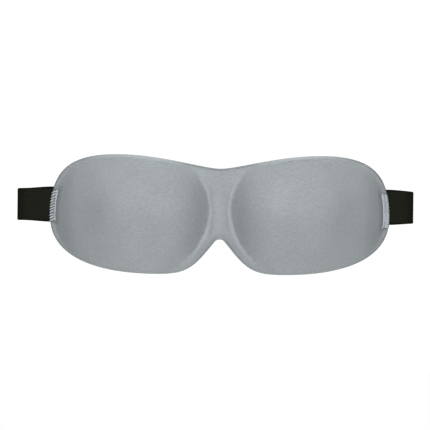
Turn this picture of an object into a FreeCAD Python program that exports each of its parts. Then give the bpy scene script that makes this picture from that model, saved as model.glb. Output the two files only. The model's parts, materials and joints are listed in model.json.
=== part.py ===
# Contoured sleep mask: a moulded foam shell with a fabric face and a lining,
# held on the head by two elastic straps that close behind it with hook and loop tape.
# +Z is up, -Y is the side that the world sees, +Y is the side of the face, +X is to the right.
# The origin lies on the inner face of the nose bridge, halfway up the bridge.
import FreeCAD
import Part
import math
import os

Vec = FreeCAD.Vector
doc = FreeCAD.newDocument("sleep_mask")

# ---------------------------------------------------------------- driving dimensions
DIMENSIONS = [
    # the outline of the mask, seen from the front
    ("bridge_top", 23.4),        # height of the dip between the two brows
    ("brow_reach", 12.0),        # length of the level stretch at the dip
    ("crown_side", 72.0),        # the highest point of each half, sideways
    ("crown_top", 33.0),         # and its height
    ("crown_inner", 32.0),       # level stretch from the crown towards the nose
    ("crown_outer", 34.0),       # level stretch from the crown towards the temple
    ("temple_side", 117.6),      # the widest point of each half, sideways
    ("temple_drop", 9.0),        # and how far it lies below the origin
    ("temple_upper", 29.0),      # upright stretch above the temple point
    ("temple_lower", 22.0),      # upright stretch below it
    ("cheek_side", 44.0),        # the lowest point of each half, sideways
    ("cheek_drop", 47.3),        # and how far it lies below the origin
    ("cheek_outer", 52.0),       # level stretch from the cheek towards the temple
    ("cheek_inner", 19.0),       # level stretch from the cheek towards the nose
    ("notch_side", 8.0),         # where the straight flank of the nose notch starts
    ("notch_drop", 31.1),
    ("notch_lean", 51.1),        # angle of that flank from level, degrees
    ("notch_lead", 18.0),        # length of the curve that runs into the flank
    ("notch_round", 4.4),        # radius of the rounded top of the notch
    # the moulded shell
    ("wrap_radius", 260.0),      # curve of the mask around the face
    ("shell_thick", 5.0),        # fabric, foam and lining together
    ("seam_thick", 2.4),         # the same at the pressed edge where the straps are sewn
    ("press_start", 97.0),       # the thinning to the pressed edge starts here
    ("press_run", 19.0),         # and takes this long
    ("fabric_thick", 0.6),
    ("lining_thick", 0.5),
    ("cup_side", 53.2),          # centre of each eye cup, sideways
    ("cup_drop", 4.1),           # and how far it lies below the origin
    ("cup_height", 18.0),        # how far the dome of each cup stands out
    ("cup_inner", 45.6),         # half width of the cup towards the nose
    ("cup_outer", 62.5),         # half width of the cup towards the temple
    ("cup_upper", 42.2),         # its height above the centre
    ("cup_lower", 46.5),         # and below it
    ("cup_pinch", 4.1),          # how much lower it is at its nose side
    ("full_temple", 1.95),       # exponent of the dome's profile towards the temple
    ("full_nose", 3.4),
    ("full_brow", 2.25),
    ("full_cheek", 2.5),
    ("spread_temple", 0.88),     # how quickly the dome's foot runs out, each side
    ("spread_nose", 1.25),
    ("spread_brow", 1.0),
    ("spread_cheek", 1.05),
    ("shoulder_side", 80.5),     # low shoulder of the cup: where it falls away at the temple
    ("shoulder_run", 4.7),       # how gently
    ("shoulder_rise", 4.5),      # how high it stands
    ("shoulder_span", 17.6),     # and its half height
    ("cup_blend", 0.067),        # softness of the crease round the cup, as a share of its height
    ("hollow_margin", 8.0),      # the hollow for the eye is this much smaller all round
    # the elastic straps
    ("strap_width", 24.4),
    ("strap_thick", 1.5),
    ("strap_drop", 1.0),         # middle of the strap below the origin
    ("sewn_start", 104.0),       # the strap reaches this far in behind the rim
    ("sewn_end", 117.85),
    ("free_start", 118.15),      # the free part of the strap starts past the rim
    ("left_lead", 18.0),         # straight stretch before the side bend
    ("left_reach", 144.3),       # how far the middle of the side bend stands out
    ("left_flat", 36.0),         # the back stretch is straight inside this
    ("right_lead", 11.0),
    ("right_reach", 137.5),
    ("right_flat", 64.0),
    ("loop_depth", 70.5),        # middle of the right strap's back stretch behind the origin
    ("swing_gap", 1.5),          # room left each side of the line where a strap folds
    ("right_tip", 33.0),         # the right strap ends this far past the middle
    ("tab_fold", 27.0),          # the line where the tab peels, left of the middle
    ("tab_gap", 0.9),
    ("tab_tip", 32.0),           # the tab ends this far right of the middle
    ("tab_round", 4.0),          # corner radius of the tab
    # hook and loop tape
    ("tape_width", 21.0),
    ("tape_thick", 1.0),
    ("tape_round", 1.5),
    ("hook_start", 22.0),        # left of the middle
    ("hook_end", 24.0),          # right of the middle
    ("loop_start", 30.0),        # left of the middle
    ("loop_end", 62.0),          # right of the middle
    # sewing thread
    ("thread_thick", 0.45),
    ("tack_pitch", 1.0),         # spacing of the dense stitches at each rim
    ("tack_bar", 0.6),           # height of one of them
    ("tack_outer", 0.6),         # distance of their outer ends from the rim
    ("tack_inner", 4.6),         # distance of their inner ends from the rim
    ("tack_span", 21.6),         # height of the whole row
    ("stitch_long", 2.2),        # one stitch of the seams round the tapes
    ("stitch_pitch", 3.2),
    ("stitch_inset", 1.5),       # from the edge of the tape
]

sheet = doc.addObject("Spreadsheet::Sheet", "dimensions")
for row, (alias, value) in enumerate(DIMENSIONS, start=1):
    sheet.set("A%d" % row, alias)
    sheet.set("B%d" % row, str(value))
    sheet.setAlias("B%d" % row, alias)
doc.recompute()


def size(alias):
    return float(sheet.get(alias))


# ---------------------------------------------------------------- helpers
pieces = []


def keep(obj, label):
    obj.Label = label
    pieces.append(obj)
    return obj


def origin_plane(body, role):
    for feature in body.Origin.OriginFeatures:
        if feature.Role == role:
            return feature
    raise RuntimeError("no plane " + role)


def new_body(name):
    return doc.addObject("PartDesign::Body", name)


def sketch_on(body, role, name, edges, lift=None):
    sketch = body.newObject("Sketcher::SketchObject", name)
    sketch.AttachmentSupport = (origin_plane(body, role), [""])
    sketch.MapMode = "FlatFace"
    if lift is not None:
        sketch.setExpression("AttachmentOffset.Base.z", lift)
    for edge in edges:
        sketch.addGeometry(edge, False)
    return sketch


def pad_both_ways(body, sketch, length):
    pad = body.newObject("PartDesign::Pad", sketch.Name + "_pad")
    pad.Profile = sketch
    pad.SideType = "Symmetric"
    pad.setExpression("Length", length)
    body.Tip = pad
    return pad


def line(start, end):
    return Part.LineSegment(Vec(*start, 0), Vec(*end, 0))


def bezier(*poles):
    curve = Part.BezierCurve()
    curve.setPoles([Vec(*pole, 0) for pole in poles])
    return curve.toBSpline()


# ---------------------------------------------------------------- outline of the mask
def mirrored(points):
    return [(-x, z) for x, z in points]


def half_outline():
    """Cubic curves of the right half, from the brow dip round to the notch's top arc."""
    lean = math.radians(size("notch_lean"))
    dip = (0, size("bridge_top"))
    crown = (size("crown_side"), size("crown_top"))
    temple = (size("temple_side"), -size("temple_drop"))
    cheek = (size("cheek_side"), -size("cheek_drop"))
    flank = (size("notch_side"), -size("notch_drop"))
    lead = (flank[0] + size("notch_lead") * math.cos(lean),
            flank[1] - size("notch_lead") * math.sin(lean))
    curves = [
        [dip, (size("brow_reach"), dip[1]),
         (crown[0] - size("crown_inner"), crown[1]), crown],
        [crown, (crown[0] + size("crown_outer"), crown[1]),
         (temple[0], temple[1] + size("temple_upper")), temple],
        [temple, (temple[0], temple[1] - size("temple_lower")),
         (cheek[0] + size("cheek_outer"), cheek[1]), cheek],
        [cheek, (cheek[0] - size("cheek_inner"), cheek[1]), lead, flank],
    ]
    touch_x = size("notch_round") * math.sin(lean)
    touch_z = flank[1] + (flank[0] - touch_x) * math.tan(lean)
    arc_top = touch_z + size("notch_round") * (1 - math.cos(lean))
    return curves, flank, (touch_x, touch_z), (0, arc_top)


def outline_edges():
    curves, flank, touch, top = half_outline()
    edges = [bezier(*poles) for poles in curves]
    edges += [bezier(*mirrored(poles)) for poles in curves]
    edges += [line(flank, touch), line(*mirrored([touch, flank]))]
    left_touch = mirrored([touch])[0]
    edges.append(Part.Arc(Vec(*touch, 0), Vec(*top, 0), Vec(*left_touch, 0)))
    return edges


def rim_side(z):
    """Sideways position of the rim near the temple at height z."""
    curves = half_outline()[0]
    poles = curves[1] if z > -size("temple_drop") else curves[2]
    low, high = 0.0, 1.0
    falling = poles[0][1] > poles[3][1]
    for _ in range(40):
        t = (low + high) / 2
        here = cubic(poles, t)
        if (here[1] > z) == falling:
            low = t
        else:
            high = t
    return cubic(poles, (low + high) / 2)[0]


def cubic(poles, t):
    weights = ((1 - t) ** 3, 3 * t * (1 - t) ** 2, 3 * t * t * (1 - t), t ** 3)
    return tuple(sum(w * pole[i] for w, pole in zip(weights, poles)) for i in (0, 1))


# ---------------------------------------------------------------- moulded surfaces
def wrap(x):
    """Back of the rim: part of an upright cylinder around the face."""
    radius = size("wrap_radius")
    return radius - math.sqrt(radius ** 2 - x ** 2)


def blend(low, high, value):
    """0 below low, 1 above high, and a smooth step between."""
    t = min(max((value - low) / (high - low), 0), 1)
    return t * t * (3 - 2 * t)


def cup(x, z, grow):
    """Height of an eye cup: a dome with its own slope on each side and a temple shoulder."""
    side = abs(x) - size("cup_side")
    rise = z + size("cup_drop")
    if side > 0:
        flank = "temple"
        across = side / (size("cup_outer") + 1.5 * grow)
        pinch = 0
    else:
        flank = "nose"
        across = side / (size("cup_inner") + grow)
        pinch = size("cup_pinch") * min(across ** 2, 1)
    end = "brow" if rise > 0 else "cheek"
    height = size("cup_upper") if rise > 0 else size("cup_lower")
    up = rise / (height + grow - pinch)
    radius = math.hypot(across, up)
    sideways = (across / max(radius, 1e-6)) ** 2
    fullness = size("full_" + flank) * sideways + size("full_" + end) * (1 - sideways)
    spread = size("spread_" + flank) * sideways + size("spread_" + end) * (1 - sideways)
    fall = 1 - radius ** fullness
    soft = (fall + math.sqrt(fall ** 2 + size("cup_blend") ** 2)) / 2
    inside = 1 / (1 + math.exp((abs(x) - size("shoulder_side")) / size("shoulder_run")))
    nose = blend(size("cup_side") - size("cup_inner"), size("cup_side") - 8, abs(x))
    swell = math.exp(-(rise / size("shoulder_span")) ** 2)
    return size("cup_height") * soft ** spread + size("shoulder_rise") * inside * nose * swell


def front(x, z):
    start = size("press_start")
    pressed = blend(start, start + size("press_run"), abs(x))
    thick = size("shell_thick") - (size("shell_thick") - size("seam_thick")) * pressed
    return wrap(x) - thick - cup(x, z, 0)


def back(x, z):
    return wrap(x) - cup(x, z, -size("hollow_margin"))


def moulded_face(depth, offset):
    """Smooth face through a moulded surface, over a rectangle a little larger than the outline."""
    margin = 3.0
    pitch = 3.0
    reach = size("temple_side") + margin
    low, high = -size("cheek_drop") - margin, size("crown_top") + margin
    columns = int(2 * reach / pitch) + 1
    rows = int((high - low) / pitch) + 1
    grid = []
    for i in range(columns):
        x = reach * (2 * i / (columns - 1) - 1)
        heights = [low + (high - low) * j / (rows - 1) for j in range(rows)]
        grid.append([Vec(x, depth(x, z) + offset, z) for z in heights])
    surface = Part.BSplineSurface()
    surface.interpolate(grid)
    return surface


def moulded_blank(front_depth, front_offset, back_depth, back_offset):
    """Solid between two moulded surfaces."""
    outer = moulded_face(front_depth, front_offset)
    inner = moulded_face(back_depth, back_offset)
    u0, u1, v0, v1 = outer.bounds()
    faces = [outer.toShape(), inner.toShape()]
    for cut, ends in (("uIso", (u0, u1)), ("vIso", (v0, v1))):
        for at in ends:
            edge_a = getattr(outer, cut)(at).toShape()
            edge_b = getattr(inner, cut)(at).toShape()
            faces.append(Part.makeRuledSurface(edge_a, edge_b))
    shell = Part.makeShell(faces)
    shell.sewShape()
    solid = Part.makeSolid(shell)
    if solid.Volume < 0:
        solid.reverse()
    return solid


def shell_layer(label, front_depth, front_offset, back_depth, back_offset):
    """One layer of the shell: a moulded blank trimmed by the outline."""
    stock = doc.addObject("Part::Feature", label + "_blank")
    stock.Shape = moulded_blank(front_depth, front_offset, back_depth, back_offset)
    cutter = new_body(label + "_outline")
    sketch = sketch_on(cutter, "XZ_Plane", label + "_profile", outline_edges())
    pad_both_ways(cutter, sketch, "<<dimensions>>.wrap_radius")
    trimmed = doc.addObject("Part::Common", label)
    trimmed.Base = stock
    trimmed.Tool = cutter
    return keep(trimmed, label)


fabric = size("fabric_thick")
lining = size("lining_thick")
shell_layer("outer_fabric", front, 0.0, front, fabric)
shell_layer("foam_core", front, fabric, back, -lining)
shell_layer("inner_lining", back, -lining, back, 0.0)


# ---------------------------------------------------------------- strap routes
def route(side):
    """Plan of one strap's middle line: start, bend centre and radius, and headings."""
    radius = size("wrap_radius") - size("strap_thick") / 2
    heading = math.asin(size("free_start") / radius)
    start = (size("free_start"), size("wrap_radius") - radius * math.cos(heading))
    lead = size(side + "_lead")
    bend_start = (start[0] + lead * math.cos(heading), start[1] + lead * math.sin(heading))
    bend = (size(side + "_reach") - bend_start[0]) / (1 - math.sin(heading))
    centre = (bend_start[0] - bend * math.sin(heading), bend_start[1] + bend * math.cos(heading))
    depth = size("loop_depth")
    if side == "left":
        depth += size("strap_thick") + 2 * size("tape_thick")
    flat = size(side + "_flat")
    turn = 2 * math.atan2(centre[0] - flat, depth - centre[1] - bend)
    back_bend = (centre[0] - flat) / math.sin(turn) + bend
    back_centre = (flat, depth - back_bend)
    return {"start": start, "heading": heading, "bend_start": bend_start, "bend": bend,
            "centre": centre, "turn": turn, "back_bend": back_bend,
            "back_centre": back_centre, "flat": flat, "depth": depth}


def on_arc(centre, radius, heading):
    return (centre[0] + radius * math.sin(heading), centre[1] - radius * math.cos(heading))


def arc(centre, radius, heading_a, heading_b, mirror):
    points = [on_arc(centre, radius, heading_a),
              on_arc(centre, radius, (heading_a + heading_b) / 2),
              on_arc(centre, radius, heading_b)]
    if mirror < 0:
        points = mirrored(points)
    return Part.Arc(*[Vec(*point, 0) for point in points])


def joined(edges, mirror, *spans):
    """Straight edges between points, mirrored to the left where asked."""
    for start, end in spans:
        ends = mirrored([start, end]) if mirror < 0 else [start, end]
        edges.append(line(*ends))
    return edges


def offset_from(point, heading, distance):
    return (point[0] + distance * math.sin(heading), point[1] - distance * math.cos(heading))


def ribbon(body_name, edges, width="<<dimensions>>.strap_width"):
    body = new_body(body_name)
    sketch = sketch_on(body, "XY_Plane", body_name + "_plan", edges,
                       "-<<dimensions>>.strap_drop")
    pad_both_ways(body, sketch, width)
    return keep(body, body_name)


def sewn_end(side, mirror):
    """The end of the strap that is sewn to the back of the rim."""
    outer = size("wrap_radius")
    inner = outer - size("strap_thick")
    middle = (0, outer)
    heading_a = math.asin(size("sewn_start") / outer)
    heading_b = math.asin(size("sewn_end") / outer)
    edges = [arc(middle, outer, heading_a, heading_b, mirror),
             arc(middle, inner, heading_a, heading_b, mirror)]
    joined(edges, mirror,
           (on_arc(middle, outer, heading_a), on_arc(middle, inner, heading_a)),
           (on_arc(middle, outer, heading_b), on_arc(middle, inner, heading_b)))
    return ribbon(side + "_strap_sewn_end", edges)


def strap_front(side, mirror):
    """Free part of the strap from the rim round the side bend to the folding line."""
    plan = route(side)
    half = size("strap_thick") / 2
    stop = plan["turn"] - size("swing_gap") / plan["bend"]
    edges = []
    ends = []
    for offset in (half, -half):
        start = offset_from(plan["start"], plan["heading"], offset)
        bend_start = offset_from(plan["bend_start"], plan["heading"], offset)
        joined(edges, mirror, (start, bend_start))
        edges.append(arc(plan["centre"], plan["bend"] + offset, plan["heading"], stop, mirror))
        ends.append((start, on_arc(plan["centre"], plan["bend"] + offset, stop)))
    joined(edges, mirror, (ends[0][0], ends[1][0]), (ends[0][1], ends[1][1]))
    return ribbon(side + "_strap_front", edges)


def strap_band(side, mirror, tip):
    """Back stretch of the strap, from the folding line to its tip."""
    plan = route(side)
    half = size("strap_thick") / 2
    begin = plan["turn"] + size("swing_gap") / plan["back_bend"]
    edges = []
    ends = []
    for offset in (half, -half):
        radius = plan["back_bend"] + offset
        flat = on_arc(plan["back_centre"], radius, math.pi)
        far = (tip, flat[1])
        edges.append(arc(plan["back_centre"], radius, begin, math.pi, mirror))
        joined(edges, mirror, (flat, far))
        ends.append((on_arc(plan["back_centre"], radius, begin), far))
    joined(edges, mirror, (ends[0][0], ends[1][0]), (ends[0][1], ends[1][1]))
    return ribbon(side + "_strap_band", edges)


for side, mirror in (("left", -1), ("right", 1)):
    sewn_end(side, mirror)
    strap_front(side, mirror)
strap_band("left", -1, size("tab_fold") + size("tab_gap"))
strap_band("right", 1, -size("right_tip"))


# ---------------------------------------------------------------- tab and tapes
def plate_outline(left, right, height, corner):
    """Upright rectangle about the strap's middle, rounded at its right end."""
    middle = -size("strap_drop")
    low, high = middle - height / 2, middle + height / 2
    lean = corner * (1 - math.sqrt(0.5))
    edges = [line((left, low), (right - corner, low)),
             line((right, low + corner), (right, high - corner)),
             line((right - corner, high), (left, high)),
             line((left, high), (left, low))]
    for z, inward in ((low, 1), (high, -1)):
        edges.append(Part.Arc(Vec(right - corner, z, 0),
                              Vec(right - lean, z + inward * lean, 0),
                              Vec(right, z + inward * corner, 0)))
    return edges


def back_plate(label, depth, thick, left, right, height, corner):
    """Flat piece behind the head, its middle at the given depth."""
    body = new_body(label)
    sketch = sketch_on(body, "XZ_Plane", label + "_face",
                       plate_outline(left, right, size(height), size(corner)))
    sketch.AttachmentOffset = FreeCAD.Placement(Vec(0, 0, -depth), FreeCAD.Rotation())
    pad_both_ways(body, sketch, "<<dimensions>>." + thick)
    return keep(body, label)


left_plan = route("left")
right_plan = route("right")
half_strap = size("strap_thick") / 2
half_tape = size("tape_thick") / 2
back_plate("strap_tab", left_plan["depth"], "strap_thick",
           -size("tab_fold") + size("tab_gap"), size("tab_tip"), "strap_width", "tab_round")
back_plate("hook_tape", left_plan["depth"] - half_strap - half_tape, "tape_thick",
           -size("hook_start"), size("hook_end"), "tape_width", "tape_round")
back_plate("loop_tape", right_plan["depth"] + half_strap + half_tape, "tape_thick",
           -size("loop_start"), size("loop_end"), "tape_width", "tape_round")


# ---------------------------------------------------------------- sewing thread
def tack_rows():
    count = int(size("tack_span") / size("tack_pitch")) + 1
    lowest = -size("strap_drop") - (count - 1) * size("tack_pitch") / 2
    return [lowest + i * size("tack_pitch") for i in range(count)]


def tack_comb(mirror, start, end):
    """Upright stack of bars that picks the stitches out of a thin sheet."""
    bars = []
    for z in tack_rows():
        rim = rim_side(z)
        x0, x1 = rim - start, rim - end
        bar = Part.makeBox(x1 - x0, size("wrap_radius"), size("tack_bar"),
                           Vec(x0, -size("wrap_radius") / 2, z - size("tack_bar") / 2))
        if mirror < 0:
            bar = bar.mirror(Vec(0, 0, 0), Vec(1, 0, 0))
        bars.append(bar)
    return bars


def thread_ring():
    """Thin upright ring against the strap's sewn ends, on the side of the face."""
    outer = size("wrap_radius") - size("strap_thick")
    height = size("tack_span") + 2
    foot = Vec(0, size("wrap_radius"), -size("strap_drop") - height / 2)
    ring = Part.makeCylinder(outer, height, foot)
    ring = ring.cut(Part.makeCylinder(outer - size("thread_thick"), height, foot))
    ahead = Part.makeBox(2 * outer, outer, height, Vec(-outer, 0, foot.z))
    return ring.common(ahead)


def bartack(side, mirror, sheets):
    """Dense row of stitches that holds the strap, picked out of thin sheets front and back."""
    solids = []
    for bar in tack_comb(mirror, size("tack_inner"), size("tack_outer")):
        for thin_sheet in sheets:
            solids += thin_sheet.common(bar).Solids
    obj = doc.addObject("Part::Feature", side + "_bartack")
    obj.Shape = Part.makeCompound(solids)
    return keep(obj, side + "_bartack")


def tape_seam(label, start, end, face, outward):
    """Stitches round a tape, on the far side of the strap that it is sewn to."""
    inset = size("stitch_inset")
    thread = size("thread_thick")
    middle = -size("strap_drop")
    half_height = size("tape_width") / 2 - inset
    near = face if outward > 0 else face - thread
    solids = []
    count = int((end - start - 2 * inset) / size("stitch_pitch"))
    first = (start + end) / 2 - count * size("stitch_pitch") / 2
    for edge in (-half_height, half_height):
        for i in range(count):
            x = first + (i + 0.5) * size("stitch_pitch") - size("stitch_long") / 2
            solids.append(Part.makeBox(size("stitch_long"), thread, thread,
                                       Vec(x, near, middle + edge - thread / 2)))
    rows = int((2 * half_height) / size("stitch_pitch"))
    lowest = middle - rows * size("stitch_pitch") / 2
    for x in (start + inset, end - inset):
        for i in range(1, rows):
            z = lowest + i * size("stitch_pitch") - size("stitch_long") / 2
            solids.append(Part.makeBox(thread, thread, size("stitch_long"),
                                       Vec(x - thread / 2, near, z)))
    obj = doc.addObject("Part::Feature", label)
    obj.Shape = Part.makeCompound(solids)
    return keep(obj, label)


thread_sheets = [moulded_blank(front, -size("thread_thick"), front, 0.0), thread_ring()]
bartack("left", -1, thread_sheets)
bartack("right", 1, thread_sheets)
tape_seam("hook_tape_stitching", -size("hook_start"), size("hook_end"),
          left_plan["depth"] + half_strap, 1)
tape_seam("loop_tape_stitching", -size("loop_start"), size("loop_end"),
          right_plan["depth"] - half_strap, -1)

# ---------------------------------------------------------------- checks and files
doc.recompute()
for obj in doc.Objects:
    if "Invalid" in obj.State or "Error" in obj.State:
        raise RuntimeError("%s failed: %s" % (obj.Name, obj.State))
for piece in pieces:
    if piece.Shape.isNull() or not piece.Shape.isValid() or not piece.Shape.Solids:
        raise RuntimeError("%s has no valid solid" % piece.Label)
os.makedirs("parts", exist_ok=True)
for piece in pieces:
    piece.Shape.exportStep("parts/%s.step" % piece.Label)
    print("%-24s %3d solids %10.1f mm3" % (piece.Label, len(piece.Shape.Solids),
                                           piece.Shape.Volume))
for side, plan in (("left", left_plan), ("right", right_plan)):
    length = (size(side + "_lead") + plan["bend"] * (plan["turn"] - plan["heading"])
              + plan["back_bend"] * (math.pi - plan["turn"]))
    print(side, "bend centre", plan["centre"], "radius", plan["bend"],
          "folds at", on_arc(plan["centre"], plan["bend"], plan["turn"]),
          "back", plan["depth"], "length to flat", length)
print("strap leaves the rim at", left_plan["start"])
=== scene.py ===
# Contoured sleep mask: the looks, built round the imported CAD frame.
# Shapes are worked out in millimetres and turned into metres when a mesh is made.
import json
import math
import bpy
import numpy as np
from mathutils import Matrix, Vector
from mathutils.geometry import delaunay_2d_cdt
from mathutils.kdtree import KDTree


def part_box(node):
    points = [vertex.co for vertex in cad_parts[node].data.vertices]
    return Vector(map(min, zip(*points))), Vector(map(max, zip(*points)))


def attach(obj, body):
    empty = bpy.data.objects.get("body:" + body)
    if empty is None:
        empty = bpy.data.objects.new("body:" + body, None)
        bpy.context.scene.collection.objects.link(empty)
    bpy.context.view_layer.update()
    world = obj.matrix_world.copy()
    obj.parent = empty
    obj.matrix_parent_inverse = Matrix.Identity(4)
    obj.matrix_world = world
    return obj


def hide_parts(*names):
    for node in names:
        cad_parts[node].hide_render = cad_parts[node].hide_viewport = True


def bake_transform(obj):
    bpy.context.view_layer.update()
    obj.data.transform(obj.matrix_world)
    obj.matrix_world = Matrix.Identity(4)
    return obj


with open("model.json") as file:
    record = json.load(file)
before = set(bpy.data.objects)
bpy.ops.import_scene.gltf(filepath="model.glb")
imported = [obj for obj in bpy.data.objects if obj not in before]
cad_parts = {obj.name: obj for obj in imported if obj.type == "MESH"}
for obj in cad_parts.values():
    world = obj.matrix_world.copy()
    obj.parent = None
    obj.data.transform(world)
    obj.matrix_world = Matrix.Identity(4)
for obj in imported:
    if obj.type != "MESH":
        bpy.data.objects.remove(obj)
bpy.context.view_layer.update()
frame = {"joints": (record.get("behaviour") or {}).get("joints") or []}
MM = 0.001


def joint_spot(name):
    """A joint's place in millimetres."""
    record = next(joint for joint in frame["joints"] if joint["name"] == name)
    return np.array(record["pos_m"]) / MM


# ---------------------------------------------------------------- dimensions, millimetres
# outline of the mask in the front view
DIP_TOP, DIP_REACH = 23.4, 12.0
CROWN = (72.0, 33.0)
CROWN_INNER, CROWN_OUTER = 32.0, 34.0
TEMPLE = (117.6, -9.0)
TEMPLE_UPPER, TEMPLE_LOWER = 29.0, 22.0
CHEEK = (44.0, -47.3)
CHEEK_INNER, CHEEK_OUTER = 19.0, 52.0
FLANK = (8.0, -31.1)
FLANK_LEAN, FLANK_LEAD = math.radians(51.1), 18.0
NOTCH_ROUND = 4.4
# moulded shell
WRAP_RADIUS = 260.0
SHELL_THICK, SEAM_THICK = 5.0, 2.4
PRESS_START, PRESS_RUN = 97.0, 19.0
FABRIC, LINING = 0.6, 0.5
CUP_SIDE, CUP_DROP, CUP_HEIGHT = 53.2, 4.1, 18.0
CUP_INNER, CUP_OUTER, CUP_UPPER, CUP_LOWER, CUP_PINCH = 46.1, 62.5, 42.2, 46.5, 4.1
# exponents of the dome towards the temple, the nose, the brow and the cheek
FULLNESS = (1.95, 3.4, 2.25, 2.5)
SPREAD = (0.88, 1.25, 1.0, 1.05)
FRONT_CREASE, BACK_CREASE = 0.03, 0.07
SHOULDER_SIDE, SHOULDER_RUN, SHOULDER_RISE, SHOULDER_SPAN = 80.5, 4.7, 5.2, 17.6
HOLLOW_MARGIN = 8.0
# bead on the nose side of each cup: height, distance from the cup, inner and outer width
BEAD_HEIGHT, BEAD_PLACE, BEAD_INNER, BEAD_OUTER = 1.0, 1.3, 0.7, 1.7
# the bridge's middle ridge, the fold on each side of it, and the tuck above the notch
RIDGE_HEIGHT, RIDGE_WIDTH = 0.25, 1.8
FOLD_DEPTH, FOLD_SIDE, FOLD_WIDTH = 0.35, 4.6, 1.5
TUCK_DEPTH, TUCK_SIDE, TUCK_SPAN = 0.30, -0.8, 3.5
# straps
MIRROR = {"left": -1, "right": 1}
STRAP_THICK = 1.5
STRAP_MIDDLE = -1.0
SEWN_START, SEWN_END = 104.0, 118.0
sewn_low, sewn_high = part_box("left_strap_sewn_end")
STRAP_WIDTH = (sewn_high.z - sewn_low.z) / MM
STRAP_NECK = 22.6
# length of the straight run beyond the seam; then, counted from the middle towards the
# strap's own side, where its flat back starts and where it ends
STRAP_LEAD = {"left": 18.0, "right": 11.0}
STRAP_FLAT = {"left": 36.0, "right": 64.0}
STRAP_TIP = {"left": -32.0, "right": -33.0}
# where the tab starts to peel, the band before it that its ribbon takes in, and its round tip
PEEL_LINE, TAB_LEAD, TAB_ROUND = 27.0, 30.0, 4.0
ROUTE_STEP = 0.75
# cross-section: points across a face, ribs, and heights as shares of the thickness
SECTION_COLUMNS, SECTION_RIBS = 37, 9
RIB_HEIGHT, SELVEDGE_HEIGHT, EDGE_THINNING = 0.045, 0.06, 0.55
RIB_PITCH, WEAVE_PITCH = 1.25, 0.9
# sewing
TACK_PITCH = 1.93
TACK_INNER = {"left": 4.0, "right": 4.5}
TACK_SPAN = {"left": 21.2, "right": 22.8}
TACK_MIDDLE = {"left": -2.5, "right": -4.2}
# strands of one tooth: how far up each lies, and how far it reaches past the rim
TACK_STRANDS = {"left": ((-0.38, 0.4), (0.34, -0.2)),
                "right": ((-0.64, -0.3), (0.0, 0.1), (0.64, -0.3))}
TACK_LOW = {side: TACK_MIDDLE[side] - TACK_SPAN[side] / 2 for side in MIRROR}
TACK_TEETH = {side: round(TACK_SPAN[side] / TACK_PITCH) for side in MIRROR}
TACK_SLOPE, TACK_JITTER = 1.1, 0.1
TACK_SINK, TACK_DEEP = 0.2, 0.7
DENT_DEPTH, DENT_REACH = 1.5, 4.0
THREAD = 0.31
# hook and loop tapes
TAPE_GROUND, HOOK_PITCH, LOOP_PITCH = 0.55, 1.25, 1.15
# running seams round the tapes: thickness in the frame, spacing, and length of a stitch
SEAM_THREAD, STITCH_PITCH, STITCH_LONG = 0.45, 3.2, 2.2


# ---------------------------------------------------------------- small helpers
def smooth(low, high, value):
    """0 below low and 1 above high, with a soft step between; low may be the larger one."""
    t = np.clip((value - low) / (high - low), 0, 1)
    return t * t * (3 - 2 * t)


def bump(value, centre, width):
    """1 at the centre, falling off evenly on both sides."""
    return np.exp(-((value - centre) / width) ** 2)


def linked(name, mesh, material):
    """Smooth object made of a mesh, with one material."""
    mesh.polygons.foreach_set("use_smooth", [True] * len(mesh.polygons))
    mesh.materials.clear()
    mesh.materials.append(material)
    obj = bpy.data.objects.new(name, mesh)
    bpy.context.collection.objects.link(obj)
    return obj


def make_object(name, points, faces, material):
    """Mesh object from millimetre points."""
    mesh = bpy.data.meshes.new(name)
    mesh.from_pydata((np.asarray(points) * MM).tolist(), [], [list(f) for f in faces])
    mesh.validate()
    mesh.update()
    return linked(name, mesh, material)


def apply_modifiers(obj):
    """The modifiers' result becomes the object's own mesh."""
    graph = bpy.context.evaluated_depsgraph_get()
    result = bpy.data.meshes.new_from_object(obj.evaluated_get(graph))
    obj.modifiers.clear()
    old = obj.data
    obj.data = result
    bpy.data.meshes.remove(old)


def thicken(obj, depth):
    """Closed skin: the surface keeps its place, the thickness grows behind it."""
    solid = obj.modifiers.new("skin", "SOLIDIFY")
    solid.thickness = depth * MM
    solid.offset = -1
    solid.use_quality_normals = True
    apply_modifiers(obj)


def joined(name, parts, material):
    """One mesh object made of the meshes of several, which are removed."""
    points, faces = [], []
    for part in parts:
        shift = len(points)
        points += [vertex.co / MM for vertex in part.data.vertices]
        faces += [[i + shift for i in polygon.vertices] for polygon in part.data.polygons]
    for part in parts:
        bpy.data.objects.remove(part)
    return make_object(name, points, faces, material)


def tube_faces(rows, columns):
    """Quads between rows of points; the last column joins the first."""
    faces = []
    for a in range(0, (rows - 1) * columns, columns):
        b = a + columns
        for c in range(columns):
            n = (c + 1) % columns
            faces.append((a + c, a + n, b + n, b + c))
    return faces


def capped_tube(rows, columns, turn_over):
    """Faces of a closed tube with flat ends; turn_over swaps inside and outside."""
    faces = tube_faces(rows, columns)
    faces.append(list(range(columns))[::-1])
    faces.append([(rows - 1) * columns + i for i in range(columns)])
    if turn_over:
        faces = [list(face)[::-1] for face in faces]
    return faces


def mark_points(obj, name, values):
    """Named value at each point of a mesh, for its material to read."""
    attribute = obj.data.attributes.new(name, "FLOAT", "POINT")
    attribute.data.foreach_set("value", np.array(values, np.float32))


# ---------------------------------------------------------------- outline
def cubic(poles, count):
    """Points along a cubic curve, without its last point."""
    t = np.linspace(0, 1, count, endpoint=False)[:, None]
    p = np.array(poles, float)
    return ((1 - t) ** 3 * p[0] + 3 * t * (1 - t) ** 2 * p[1]
            + 3 * t ** 2 * (1 - t) * p[2] + t ** 3 * p[3])


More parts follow.
